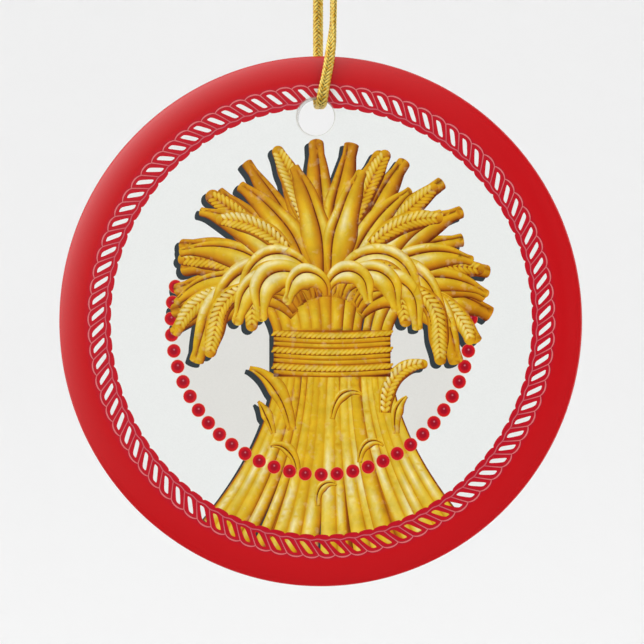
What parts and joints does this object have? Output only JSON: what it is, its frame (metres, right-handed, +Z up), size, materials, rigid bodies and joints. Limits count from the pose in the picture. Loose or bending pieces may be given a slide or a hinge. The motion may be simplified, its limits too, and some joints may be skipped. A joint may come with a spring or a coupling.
{
  "type": "round ceramic hanging ornament",
  "caption": "Round flat glazed ceramic ornament with a printed wheat sheaf, rope and bead rings and a red border, hung by a knotted loop of flat gold braid through a hole near its top.",
  "frame": {"origin": "the hang point: the inside top of the cord loop, just under the knot, straight above the disc's centre", "axes": "+Z up, along the pull of the cord; the disc hangs in the XZ plane with its decorated face towards -Y; +X is to the right seen from the front"},
  "size_m": [0.0724, 0.0064, 0.1303],
  "materials": {
    "printed_glaze": "gloss",
    "gold_braid": "satin"
  },
  "bodies": {
    "root": {"ceramic_disc": "printed_glaze", "hanging_cord": "gold_braid", "cord_knot": "gold_braid"}
  },
  "joints": []
}
